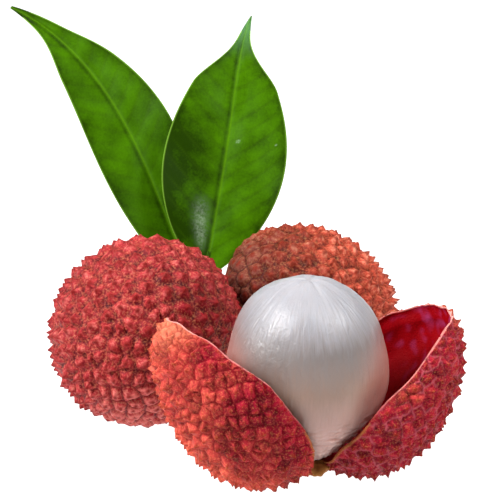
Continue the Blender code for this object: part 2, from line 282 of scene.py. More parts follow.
def united(whole: bpy.types.Object, *parts: bpy.types.Object) -> bpy.types.Object:
    """Grow closed pieces into one.

    Args:
        whole: the piece that stays.
        parts: the pieces that it takes in. They are removed.

    Returns:
        The whole.
    """
    for part in parts:
        joint = whole.modifiers.new("grown", "BOOLEAN")
        joint.operation = "UNION"
        joint.solver = "EXACT"
        joint.object = part
        bpy.context.view_layer.update()
        graph = bpy.context.evaluated_depsgraph_get()
        mesh = bpy.data.meshes.new_from_object(whole.evaluated_get(graph))
        whole.modifiers.clear()
        whole.data = mesh
        bpy.data.objects.remove(part, do_unlink=True)
    whole.data.shade_smooth()
    return whole


def finished(name: str, bm: bmesh.types.BMesh, points: np.ndarray,
             marks: dict[str, np.ndarray] | None = None) -> bpy.types.Object:
    """Turn a bmesh into a smooth object at the origin.

    Args:
        name: the object's name.
        bm: its faces. It is freed.
        points: where its points go.
        marks: attributes that its material reads, one number or one row of three a point.

    Returns:
        The object, linked to the scene.
    """
    mesh = bpy.data.meshes.new(name)
    bm.to_mesh(mesh)
    bm.free()
    mesh.vertices.foreach_set("co", points.astype(np.float32).ravel())
    for mark, values in (marks or {}).items():
        vector = values.ndim == 2
        layer = mesh.attributes.new(mark, "FLOAT_VECTOR" if vector else "FLOAT", "POINT")
        layer.data.foreach_set("vector" if vector else "value", values.astype(np.float32).ravel())
    mesh.update()
    outward = bmesh.new()
    outward.from_mesh(mesh)
    bmesh.ops.recalc_face_normals(outward, faces=outward.faces[:])
    outward.to_mesh(mesh)
    outward.free()
    mesh.shade_smooth()
    thing = bpy.data.objects.new(name, mesh)
    bpy.context.scene.collection.objects.link(thing)
    return thing


def settle(thing: bpy.types.Object, node: str, finish: bpy.types.Material) -> None:
    """Give a piece its finish, hang it from the body, and hide the CAD node that it replaces.

    Args:
        thing: the piece.
        node: the CAD node that it replaces.
        finish: its material.
    """
    thing.data.materials.append(finish)
    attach(thing, BODY)
    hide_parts(node)
    LOG.info("%s: %d faces", thing.name, len(thing.data.polygons))


# ---------------------------------------------------------------- finishes


@dataclass(frozen=True)
class WholePeel:
    """Skin of a whole, mature lychee: thin leathery peel grown in pointed tubercles.

    To the eye it is satin, pinker on the tubercles' flanks, browner in the valleys with tan corky
    flecks, and deep red at each tip. The valleys are also darkened with painted shade, and one side
    is tinted and darker with painted shade.
    """

    name: str
    pit: str
    low: str
    skin: str
    bright: str
    tip: str
    tint_and_shade: str  # what tints and darkens one side of the skin, as painted shade
    flecked: float  # how strongly the corky flecks show
    graininess: float
    fleck: str = "#C8A468"
    roughness: float = 0.5
    specular: float = 0.12
    mottle_size: float = 1.3 * MM
    grit_size: float = 0.4 * MM  # of corky grains, drawn about twice as coarse as real so they show

    def material(self) -> bpy.types.Material:
        """Build the node material."""
        made, tree, shader, mark = new_material(self.name, "rise", "streak", "tint_and_shade", "cell",
                                                "crack", "scaly")
        where = add_node(tree, "TexCoord").outputs["Object"]
        mottle, grit = (add_node(tree, "TexNoise", {
            "Vector": where, "Scale": 1 / size, "Detail": 3.0, "Roughness": fineness
        }).outputs["Fac"] for size, fineness in ((self.mottle_size, 0.5), (self.grit_size, 0.6)))
        level = -0.22 - self.graininess / 2
        # The rise term darkens the valleys and lightens the flanks toward the tips: painted shade in
        # the hollows, over their own browner colour.
        for source, weight in ((mark["rise"], 0.4), (mark["streak"], 0.3), (mottle, 0.6),
                               (grit, self.graininess), (mark["cell"], 0.15),
                               (mark["scaly"], 0.3)):
            level = add_node(tree, "Math", {0: source, 1: weight, 2: level},
                             operation="MULTIPLY_ADD").outputs[0]
        tone = add_node(tree, "ValToRGB", {"Fac": level}, stops=(
            (0.05, self.pit), (0.28, self.low), (0.5, self.skin), (0.85, self.bright)))
        # Tints and darkens one side of the skin: painted shade.
        side_shaded = add_node(tree, "Mix", {"Factor": mark["tint_and_shade"], 6: tone.outputs["Color"],
                                         7: linear(self.tint_and_shade)}, data_type="RGBA",
                           blend_type="MULTIPLY")
        valley = add_node(tree, "MapRange", {"Value": mark["rise"], "From Min": 0.75,
                                             "From Max": 0.2, "To Max": self.flecked})
        specks = add_node(tree, "MapRange", {"Value": grit, "From Min": 0.48, "From Max": 0.72})
        shown = add_node(tree, "Math", {0: specks.outputs[0], 1: valley.outputs[0]},
                         operation="MULTIPLY")
        crest = add_node(tree, "MapRange", {"Value": mark["rise"], "From Min": 0.55,
                                            "From Max": 0.75, "To Max": 0.8})
        colour = side_shaded.outputs[2]
        for factor, code in ((shown.outputs[0], self.fleck), (crest.outputs[0], self.tip),
                             (mark["crack"], self.pit)):
            colour = add_node(tree, "Mix", {"Factor": factor, 6: colour, 7: linear(code)},
                              data_type="RGBA").outputs[2]
        bump = add_node(tree, "Bump", {"Height": grit, "Strength": 0.8, "Distance": 0.25 * MM})
        wire(tree, shader, {"Base Color": colour, "Normal": bump.outputs["Normal"],
                            "Roughness": self.roughness, "Specular IOR Level": self.specular})
        return made


@dataclass(frozen=True)
class TornPeel:
    """Peel of an opened lychee, fresh and damp.

    To the eye its outside is scaly and crimson; painted light turns the left cup coral toward its
    left and low down and paler along its far left, pales each cup's tip and lays pale highlights
    on the crests. Between the scales run fine dark cracks or pale wrinkles, and each tip has a
    brown scab. Its inside is smooth and deep crimson, and its torn edge pale.
    """

    name: str = "torn_lychee_peel"
    coral: str = "#DC5A46"
    crimson: str = "#8A0C24"
    crack: str = "#7A0014"
    wrinkle: str = "#B45460"
    tip: str = "#7A240A"
    # pale painted light, for the tips, the left cup's far left and the crests
    lit_pale: str = "#E08060"
    fleck: str = "#C89A58"
    inside: str = "#90000A"
    inside_pale: str = "#A84078"
    edge_pale: str = "#DC9088"
    scar: str = "#A07038"
    roughness: float = 0.5
    specular: float = 0.06
    mottle_size: float = 1.2 * MM
    grit_size: float = 0.3 * MM  # of corky grains, drawn coarse enough to show

    def material(self) -> bpy.types.Material:
        """Build the node material."""
        made, tree, shader, mark = new_material(self.name, "rise", "streak", "tint_and_shade", "inner",
                                                "edge", "crack", "wrinkle", "lit_pale", "cell",
                                                "pale", "scar")
        where = add_node(tree, "TexCoord").outputs["Object"]
        mottle, grit = (add_node(tree, "TexNoise", {
            "Vector": where, "Scale": 1 / size, "Detail": 3.0, "Roughness": fineness
        }).outputs["Fac"] for size, fineness in ((self.mottle_size, 0.5), (self.grit_size, 0.6)))
        level = -0.52
        for source, weight in ((mark["rise"], 0.2), (mark["streak"], 0.35), (mark["cell"], 0.35),
                               (mottle, 0.6), (grit, 0.5)):
            level = add_node(tree, "Math", {0: source, 1: weight, 2: level},
                             operation="MULTIPLY_ADD").outputs[0]
        shade = add_node(tree, "MapRange", {"Value": level, "From Min": 0.1, "From Max": 0.9,
                                            "To Min": 0.35, "To Max": 1.6})
        # Painted highlight: the highest crests pale toward the painted-light colour, more where the
        # skin is coral.
        highlight_reach = add_node(tree, "MapRange", {"Value": mark["tint_and_shade"], "From Min": 1.0,
                                          "From Max": 0.4, "To Min": 0.05, "To Max": 0.6})
        crest_highlight = add_node(tree, "MapRange", {"Value": level, "From Min": 0.55, "From Max": 1.1,
                                           "To Max": highlight_reach.outputs[0]})
        colour = linear(self.coral)
        # Coral goes to crimson where the tint-and-shade mark is high, and pales where painted light
        # falls.
        for factor, code in (("tint_and_shade", self.crimson), ("lit_pale", self.lit_pale)):
            colour = add_node(tree, "Mix", {"Factor": mark[factor], 6: colour, 7: linear(code)},
                              data_type="RGBA").outputs[2]
        varied = add_node(tree, "HueSaturation", {"Value": shade.outputs[0], "Color": colour})
        crest = add_node(tree, "MapRange", {"Value": mark["rise"], "From Min": 0.55,
                                            "From Max": 0.85, "To Max": 0.7})
        specks = add_node(tree, "MapRange", {"Value": grit, "From Min": 0.52, "From Max": 0.74,
                                             "To Max": 0.32})
        lining = add_node(tree, "Mix", {"Factor": mark["pale"], 6: linear(self.inside),
                                        7: linear(self.inside_pale)}, data_type="RGBA")
        colour = varied.outputs["Color"]
        for factor, over in ((crest_highlight.outputs[0], linear(self.lit_pale)),
                             (crest.outputs[0], linear(self.tip)),
                             (specks.outputs[0], linear(self.fleck)),
                             (mark["crack"], linear(self.crack)),
                             (mark["wrinkle"], linear(self.wrinkle)),
                             (mark["inner"], lining.outputs[2]),
                             (mark["edge"], linear(self.edge_pale)),
                             (mark["scar"], linear(self.scar))):
            colour = add_node(tree, "Mix", {"Factor": factor, 6: colour, 7: over},
                              data_type="RGBA").outputs[2]
        bump = add_node(tree, "Bump", {"Height": grit, "Strength": 0.8, "Distance": 0.25 * MM})
        wire(tree, shader, {"Base Color": colour, "Normal": bump.outputs["Normal"],
                            "Roughness": self.roughness, "Specular IOR Level": self.specular})
        return made


@dataclass(frozen=True)
class WetFlesh:
    """Aril of a lychee: firm translucent white flesh, wet with juice, finely fibred lengthwise.

    To the eye it is pearly white on top and pinkish grey low down, under a film of juice that
    breaks every light into streaks along its fibres. The pink cast low on each side is painted red
    light from the peel cups beside it.
    """

    name: str = "wet_lychee_flesh"
    top: str = "#949398"
    upper: str = "#7A7270"
    middle: str = "#8A7062"
    low: str = "#A8847C"
    # pink cast painted in as red light from the peel beside the flesh
    peel_red_light: str = "#C47C72"
    roughness: float = 0.45
    index: float = 1.38
    film_roughness: float = 0.22
    film_index: float = 1.45
    film_weight: float = 0.5
    fibre_size: float = 0.45 * MM  # across the fibres, about twice as coarse as real so it shows
    fibre_length: float = 4 * MM
    pucker_size: float = 1.0 * MM
    glow_depth: float = 6 * MM
    glow_reach: tuple[float, ...] = (1.0, 0.8, 0.7)  # of red, green and blue light, as shares

    def material(self) -> bpy.types.Material:
        """Build the node material."""
        made, tree, shader, mark = new_material(self.name, "height", "peel_red_light")
        where = add_node(tree, "TexCoord").outputs["Object"]
        fibre = add_node(tree, "Attribute", attribute_name="fibre").outputs["Vector"]
        across, along = 1 / self.fibre_size, 1 / self.fibre_length
        drawn = add_node(tree, "Mapping", {"Vector": fibre, "Scale": (across, across, along)})
        strands = add_node(tree, "TexNoise", {"Vector": drawn.outputs[0], "Scale": 1.0,
                                              "Detail": 4.0, "Distortion": 0.5}).outputs["Fac"]
        pucker = add_node(tree, "TexNoise", {"Vector": where, "Scale": 1 / self.pucker_size,
                                             "Detail": 3.0, "Distortion": 1.5}).outputs["Fac"]
        tone = add_node(tree, "Math", {0: strands, 1: 0.2, 2: mark["height"]},
                        operation="MULTIPLY_ADD")
        body = add_node(tree, "ValToRGB", {"Fac": tone.outputs[0]}, stops=(
            (0.15, self.low), (0.5, self.middle), (0.78, self.upper), (0.94, self.top)))
        # Painted red light from the peel cups, low on each side.
        tinted = add_node(tree, "Mix", {"Factor": mark["peel_red_light"], 6: body.outputs["Color"],
                                        7: linear(self.peel_red_light)}, data_type="RGBA")
        bends = []
        for relief, strength, depth in ((strands, 0.4, 0.1 * MM), (pucker, 0.5, 0.14 * MM),
                                        (strands, 1.0, 0.2 * MM)):
            under = {"Normal": bends[-1]} if bends else {}
            bump = add_node(tree, "Bump", {"Height": relief, "Strength": strength,
                                           "Distance": depth, **under})
            bends.append(bump.outputs["Normal"])
        wire(tree, shader, {"Base Color": tinted.outputs[2], "Normal": bends[1],
                            "Roughness": self.roughness, "IOR": self.index,
                            "Coat Weight": self.film_weight, "Coat IOR": self.film_index,
                            "Coat Roughness": self.film_roughness, "Coat Normal": bends[2],
                            "Subsurface Weight": 1.0, "Subsurface Radius": self.glow_reach,
                            "Subsurface Scale": self.glow_depth})
        return made


@dataclass(frozen=True)
class WaxyLeaf:
    """Lychee leaf: leathery and waxy, with a paler midrib, fine side veins and a thin pale edge.

    To the eye it is a deep fresh green. Painted shade mixes a lit and a shaded green; painted
    light adds a gloss highlight beside the midrib, glint dots and a greyish reflection at the tip.
    """

    name: str
    lit: str = "#3A6600"
    shaded: str = "#182E00"
    vein: str = "#5C8C14"
    margin: str = "#86B83C"
    # pale painted gloss highlight
    gloss_highlight: str = "#A8BFA0"
    # greyish painted reflection at the tip
    tip_reflection: str = "#4F7A4A"
    back: str = "#6E9A48"
    roughness: float = 0.45
    specular: float = 0.02
    mottle_size: float = 4.5 * MM
    cell_size: float = 0.5 * MM  # of the net of smallest veins, about twice as coarse as real

    def material(self) -> bpy.types.Material:
        """Build the node material."""
        made, tree, shader, mark = new_material(self.name, "vein", "tone", "margin", "gloss_highlight",
                                                "under", "fade")
        where = add_node(tree, "TexCoord").outputs["Object"]
        mottle = add_node(tree, "TexNoise", {"Vector": where, "Scale": 1 / self.mottle_size,
                                             "Detail": 3.0}).outputs["Fac"]
        net = add_node(tree, "TexNoise", {"Vector": where, "Scale": 1 / self.cell_size,
                                          "Detail": 2.0}).outputs["Fac"]
        level = -0.62
        for source, weight in ((mark["tone"], 1.0), (mottle, 1.3), (net, 0.5)):
            level = add_node(tree, "Math", {0: source, 1: weight, 2: level},
                             operation="MULTIPLY_ADD").outputs[0]
        blade = add_node(tree, "Mix", {"Factor": level, 6: linear(self.lit),
                                       7: linear(self.shaded)}, data_type="RGBA",
                         clamp_factor=True)
        # Painted gloss highlight and glint dots, broken up by the vein net.
        gloss_breakup = add_node(tree, "MapRange", {"Value": net, "From Min": 0.35, "From Max": 0.65,
                                             "To Min": 0.3, "To Max": 1.2})
        glossed = add_node(tree, "Math", {0: mark["gloss_highlight"], 1: gloss_breakup.outputs[0]},
                         operation="MULTIPLY")
        colour = blade.outputs[2]
        for factor, code in ((mark["under"], self.back), (mark["fade"], self.tip_reflection),
                             (mark["vein"], self.vein), (mark["margin"], self.margin),
                             (glossed.outputs[0], self.gloss_highlight)):
            colour = add_node(tree, "Mix", {"Factor": factor, 6: colour, 7: linear(code)},
                              data_type="RGBA").outputs[2]
        bump = add_node(tree, "Bump", {"Height": net, "Strength": 0.25, "Distance": 0.1 * MM})
        wire(tree, shader, {"Base Color": colour, "Normal": bump.outputs["Normal"],
                            "Roughness": self.roughness, "Specular IOR Level": self.specular})
        return made


@dataclass(frozen=True)
class TwigBark:
    """Young lychee wood: rough grey-brown bark with pale pores, cut across at one end.

    To the eye it is dull and fissured lengthwise; the cut shows pale wood round a darker pith.
    """

    name: str = "lychee_twig_bark"
    bark: str = "#4E3422"
    ridge: str = "#8A6A48"
    pore: str = "#B89A70"
    wood: str = "#D8BE8C"
    pith: str = "#8C6A3C"
    roughness: float = 0.8
    grain_size: float = 0.9 * MM
    pore_size: float = 1.6 * MM

    def material(self) -> bpy.types.Material:
        """Build the node material."""
        made, tree, shader, mark = new_material(self.name, "cut", "heart")
        where = add_node(tree, "TexCoord").outputs["Object"]
        grain = add_node(tree, "TexNoise", {"Vector": where, "Scale": 1 / self.grain_size,
                                            "Detail": 6.0}).outputs["Fac"]
        spots = add_node(tree, "TexVoronoi", {"Vector": where, "Scale": 1 / self.pore_size})
        pores = add_node(tree, "MapRange", {"Value": spots.outputs["Distance"], "From Min": 0.2,
                                            "From Max": 0.12, "To Max": 0.8})
        rough = add_node(tree, "ValToRGB", {"Fac": grain},
                         stops=((0.35, self.bark), (0.65, self.ridge)))
        core = add_node(tree, "Mix", {"Factor": mark["heart"], 6: linear(self.wood),
                                      7: linear(self.pith)}, data_type="RGBA")
        colour = rough.outputs["Color"]
        for factor, over in ((pores.outputs[0], linear(self.pore)), (mark["cut"], core.outputs[2])):
            colour = add_node(tree, "Mix", {"Factor": factor, 6: colour, 7: over},
                              data_type="RGBA").outputs[2]
        bump = add_node(tree, "Bump", {"Height": grain, "Strength": 0.6, "Distance": 0.2 * MM})
        wire(tree, shader, {"Base Color": colour, "Normal": bump.outputs["Normal"],
                            "Roughness": self.roughness})
        return made


@dataclass(frozen=True)
class PaleFloor:
    """Milky glass of a light table, lit evenly from below: to the eye it is plain bright white."""

    name: str = "milky_glass"
    tone: str = "#8C8C8C"
    roughness: float = 0.9
    glow: float = 1.14

    def material(self) -> bpy.types.Material:
        """Build the material."""
        made, tree, shader, _ = new_material(self.name)
        wire(tree, shader, {"Base Color": linear(self.tone), "Roughness": self.roughness,
                            "Emission Color": WHITE, "Emission Strength": self.glow})
        return made


# ---------------------------------------------------------------- tubercles


@dataclass(frozen=True)
class Ground:
    """Where each point of a skin lies among its tubercles."""

    groove: np.ndarray  # distance to the groove round its tubercle
    rise: np.ndarray  # from 0 in the groove to 1 at the tip
    height: np.ndarray  # its tubercle's height, as a share of the usual
    streak: np.ndarray  # fine ridges that run down from the tip, about -1 to 1
    cell: np.ndarray  # a number for each tubercle, from 0 to 1

    def relief(self, spike: float, valley: float, shape: np.ndarray) -> np.ndarray:
        """Raise the skin from its valleys to its tips, as a shape from 0 to 1 says."""
        return (spike * self.height + valley) * shape - valley

    def ridges(self) -> np.ndarray:
        """The fine ridges as a mark from 0 to 1."""
        return np.clip(0.5 + 0.4 * self.streak, 0, 1)


@dataclass
class Tubercles:
    """The tips that a skin's tubercles rise to, on the unit sphere of directions."""

    count: int
    crowding: float  # below 1, they grow wider toward the stem end
    wander_size: float  # of the bends in the grooves between them
    wander: float
    seed: int
    ways: np.ndarray = field(init=False)
    heights: np.ndarray = field(init=False)

    def __post_init__(self) -> None:
        """Lay the tips in a sunflower spiral, each nudged at random."""
        rng = random.Random(self.seed)
        golden_turn = math.pi * (3 - math.sqrt(5))
        nudge = 0.3 * math.sqrt(4 * math.pi / self.count)
        ways = []
        for i in range(self.count):
            z = 1 - 2 * ((i + 0.5) / self.count) ** self.crowding
            ring = math.sqrt(1 - z * z)
            angle = i * golden_turn
            point = Vector((ring * math.cos(angle), ring * math.sin(angle), z))
            offset = Vector(rng.uniform(-nudge, nudge) for _ in range(3))
            ways.append((point + offset).normalized())
        self.ways = np.array(ways, float)
        self.heights = np.array([rng.uniform(0.75, 1.15) for _ in range(self.count)])

    @staticmethod
    def nearest(points: np.ndarray, tips: np.ndarray) -> tuple[np.ndarray, ...]:
        """Find the tubercle that each point is on.

        Args:
            points: positions on the skin's smooth form.
            tips: the tips' positions on the same form.

        Returns:
            For each point, the tubercle's number, the distance to its tip, and the distance to
            the groove round it.
        """
        near, batch = 6, 8192
        which = np.empty(len(points), int)
        reach = np.empty(len(points))
        groove = np.empty(len(points))
        for start in range(0, len(points), batch):
            part = points[start:start + batch]
            apart = ((part ** 2).sum(1)[:, None] + (tips ** 2).sum(1) - 2 * part @ tips.T)
            order = np.argpartition(apart, near, axis=1)[:, :near]
            square = np.take_along_axis(apart, order, 1)
            rank = np.argsort(square, axis=1)
            order = np.take_along_axis(order, rank, 1)
            square = np.maximum(np.take_along_axis(square, rank, 1), 0)
            span = np.linalg.norm(tips[order[:, 1:]] - tips[order[:, :1]], axis=2)
            edges = (square[:, 1:] - square[:, :1]) / (2 * span)
            stop = start + len(part)
            which[start:stop] = order[:, 0]
            reach[start:stop] = np.sqrt(square[:, 0])
            groove[start:stop] = edges.min(axis=1)
        return which, reach, groove

    def survey(self, smooth: np.ndarray, tips: np.ndarray) -> Ground:
        """Find where each point lies among the tubercles.

        Args:
            smooth: positions on the skin's smooth form.
            tips: the tips' positions on the same form.

        Returns:
            Each point's place.
        """
        bent = wandered(smooth, self.wander_size, self.wander, self.seed)
        which, reach, groove = self.nearest(bent, tips)
        rise = groove / (groove + reach)
        away = smooth - tips[which]
        away /= np.linalg.norm(away, axis=1)[:, None] + NOTHING
        own = np.random.default_rng(self.seed).uniform(0, 40, (self.count, 3))[which]
        streak = ripples(away + own, 0.9, self.seed + 4) * 4 * rise * (1 - rise)
        cell = np.random.default_rng(self.seed).uniform(0, 1, self.count)[which]
        return Ground(groove, rise, self.heights[which], streak, cell)


# ---------------------------------------------------------------- sub-assemblies


@dataclass
class WholeLychee:
    """A whole fruit in its tubercled peel, resting on a few flattened tips."""

    node: str
    slot: str
    finish: WholePeel
    x: float
    y: float
    stem: Vector
    girth: float
    half_length: float
    seed: int
    scaly_side: Vector  # where the tubercles are flat scales with cracks between them
    # the side that is tinted and darker: painted shade, toward a neighbouring piece that shades it
    shaded_side: Vector
    scaly_from: float = 0.55  # cosine of the angle from the scaly side where they start
    tubercles: int = 400
    crowding: float = 0.88
    tip_rise: float = 0.75 * MM
    valley_drop: float = 0.7 * MM
    shoulder: float = 0.05
    dimple_depth: float = 1.6 * MM
    dimple_width: float = 0.35
    smooth_stem: float = 0.5  # radians from the stem over which the relief grows
    flat_depth: float = 0.4 * MM
    grain_rise: float = 0.05 * MM  # of the fine bumps between tubercles
    streak_rise: float = 0.08 * MM
    crack_width: float = 0.2 * MM
    spike: float = 1.05 * MM  # rise of the sharp tips, which stand a little over the solid's
    shaded_from: float = 0.65  # cosine of the angle from the shaded side where the painted shade starts
    floor: float = field(init=False, default=0.0)

    def turn(self) -> np.ndarray:
        """The rotation that tilts the fruit from upright."""
        return np.array(UP.rotation_difference(self.stem.normalized()).to_matrix())

    def pole(self) -> np.ndarray:
        """The middle of the built fruit's stem dimple, in the layout."""
        top = self.form(np.array([[0.0, 0.0, 1.0]])) @ self.turn().T
        return top[0] + np.array((self.x, self.y, -self.floor))

    def form(self, way: np.ndarray) -> np.ndarray:
        """The fruit's smooth surface, stem end up.

        Args:
            way: unit directions from its centre, one a row.

        Returns:
            The surface's position along each.
        """
        girth = (self.girth - self.tip_rise) * (1 + self.shoulder * way[:, 2])
        spread = (way[:, 0] ** 2 + way[:, 1] ** 2) / self.dimple_width ** 2
        dimple = self.dimple_depth * np.exp(-spread) * (way[:, 2] > 0)
        length = (self.half_length - self.tip_rise) * way[:, 2] - dimple
        return np.stack([girth * way[:, 0], girth * way[:, 1], length], axis=1)

    def lift(self, way: np.ndarray) -> np.ndarray:
        """How much of its relief the skin shows: less near the stem end."""
        grown = smooth_step(0.1, self.smooth_stem, np.arccos(np.clip(way[:, 2], -1, 1)))
        return grown * (0.75 - 0.25 * way[:, 2])

    def build(self, shift: np.ndarray) -> None:
        """Model and dress the fruit.

        Args:
            shift: from the layout to the frame.
        """
        bm = fine_sphere(*FINE_MESH)
        way, turn = directions(bm), self.turn()
        smooth, facing = self.form(way), way @ turn.T
        skin = Tubercles(self.tubercles, self.crowding, wander_size=2.2 * MM, wander=0.12 * MM,
                         seed=self.seed)
        tips = self.form(skin.ways)
        ground = skin.survey(smooth, tips)
        rise = ground.rise
        scaly = smooth_step(self.scaly_from, self.scaly_from + 0.4, facing @ unit(self.scaly_side))
        cone = 1.1 * rise ** 2 / (rise + 0.15) + 0.25 * rise ** 4
        scale = 0.5 * smooth_step(0, 0.45, rise) + 0.3 * rise ** 4
        relief = ground.relief(self.spike, self.valley_drop, cone + (scale - cone) * scaly)
        relief += self.grain_rise * ripples(smooth, 0.8 * MM, self.seed + 5)
        relief += self.streak_rise * ground.streak
        points = smooth + way * (relief * self.lift(way))[:, None]
        crests = tips + skin.ways * (self.tip_rise * skin.heights * self.lift(skin.ways))[:, None]
        self.floor = (crests @ turn.T)[:, 2].min() + self.flat_depth
        points = points @ turn.T + np.array((self.x, self.y, -self.floor)) + shift
        points[:, 2] = np.maximum(points[:, 2], 0)
        # Painted shade: the skin is tinted and darker toward its shaded side.
        tint_and_shade = facing @ unit(self.shaded_side) + 0.1 * ripples(smooth, 9 * MM, 8)
        marks = {"rise": rise, "cell": ground.cell, "streak": ground.ridges(), "scaly": scaly,
                 "crack": 0.8 * np.exp(-(ground.groove / self.crack_width) ** 2) * scaly,
                 "tint_and_shade": smooth_step(self.shaded_from, 0.98, tint_and_shade)}
        thing = finished(self.node + "_skin", bm, points, marks)
        settle(thing, self.node, self.finish.material())


@dataclass
class Flesh:
    """The opened lychee's white flesh, an egg that narrows downward."""

    node: str = "aril"
    slot: str = "flesh_white"
    finish: WetFlesh = WetFlesh()

    @staticmethod
    def turn() -> np.ndarray:
        """The flesh's lean, as a rotation."""
        return np.array(Matrix.Rotation(FLESH_LEAN, 3, "X"))

    @staticmethod
    def girth(height: np.ndarray) -> np.ndarray:
        """Its girth at heights from -1 to 1."""
        return FLESH_GIRTH * (1 - FLESH_TAPER * np.maximum(0, -height) ** 1.5)

    def form(self, way: np.ndarray) -> np.ndarray:
        """Its surface, slightly dented.

        Args:
            way: unit directions from its centre, one a row.

        Returns:
            The surface's position along each, in the layout.
        """
        girth = self.girth(way[:, 2])
        dents = np.sin(3 * way[:, 0] + 5 * way[:, 2]) * np.cos(4 * way[:, 1] - 2 * way[:, 2])
        body = np.stack([girth * way[:, 0], girth * way[:, 1], FLESH_HALF_LENGTH * way[:, 2]], 1)
        body += way * (FLESH_DENT * dents)[:, None]
        return body @ self.turn().T + np.array(FLESH_CENTRE)

    def keep_out(self, points: np.ndarray, margin: np.ndarray) -> np.ndarray:
        """Push points out of the flesh.

        Args:
            points: positions in the layout.
            margin: how far each stays from the flesh.

        Returns:
            The positions, moved where they were too near.
        """
        local = (points - np.array(FLESH_CENTRE)) @ self.turn()
        grow = 1.0
        for _ in range(4):
            height = local[:, 2] / FLESH_HALF_LENGTH / grow
            girth = self.girth(np.clip(height, -1, 1)) + margin
            flat = np.hypot(local[:, 0], local[:, 1]) / girth
            grow = np.hypot(flat, local[:, 2] / (FLESH_HALF_LENGTH + margin)) + NOTHING
        local = local / np.minimum(grow, 1)[:, None]
        return local @ self.turn().T + np.array(FLESH_CENTRE)

    def shift(self) -> np.ndarray:
        """Compare where the flesh stands in the layout and in the frame.

        Returns:
            The level move from the layout to the frame.
        """
        bm = fine_sphere(4, cuts=0)
        points = self.form(places(bm))
        bm.free()
        low, high = (np.array(corner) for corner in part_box(self.node))
        move = (low + high) / 2 - (points.min(axis=0) + points.max(axis=0)) / 2
        return np.array((move[0], move[1], 0))

    def build(self, shift: np.ndarray) -> None:
        """Model and dress the flesh.

        Args:
            shift: from the layout to the frame.
        """
        bm = fine_sphere(*FINE_MESH)
        way = directions(bm)
        turn = np.arctan2(way[:, 1], way[:, 0])
        fibre = np.stack([FLESH_GIRTH * np.cos(turn), FLESH_GIRTH * np.sin(turn),
                          FLESH_HALF_LENGTH * way[:, 2]], axis=1)
        middle = np.hypot(way[:, 0], way[:, 1])
        whorl = 1.4 * np.exp(-(middle / 0.22) ** 2) * (way[:, 2] > 0)
        drawn = wandered(fibre, 6 * MM, 0.5 * MM, 70) / np.array((1, 1, 4))
        drawn += 0.4 * MM * np.stack([whorl] * 3, axis=1)
        off_pole = smooth_step(0, 0.3, middle)
        relief = 0.02 * ripples(drawn, 1.4 * MM, 71) + 0.015 * ripples(drawn, 0.8 * MM, 72)
        relief = relief * off_pole + 0.1 * ripples(fibre, 8 * MM, 73)
        creased = fibre * np.array((1, 1, 3))
        relief += 0.18 * smooth_step(-0.2, -0.5, way[:, 2]) * ripples(creased, 2.4 * MM, 74)
        relief -= 0.45 * np.exp(-(middle / 0.07) ** 2) * (way[:, 2] > 0)
        points = self.form(way) + way * (relief * MM)[:, None] + shift
        height = 0.85 * smooth_step(-0.75, 0.95, way[:, 2])
        # Painted red light from the peel cups beside the flesh, low on each side.
        peel_red_light = 0.6 * smooth_step(0.5, 1, np.abs(way[:, 0])) * smooth_step(0.75, 0, way[:, 2])
        thing = finished("flesh", bm, points, {"height": height, "fibre": fibre, "peel_red_light": peel_red_light})
        settle(thing, self.node, self.finish.material())


@dataclass(frozen=True)
class Shell:
    """The points of a cup's smooth shell."""

    way: np.ndarray  # direction from the bowl's centre
    inner: np.ndarray  # whether it is on the inner face
    down: np.ndarray  # distance from the rim
    place: np.ndarray


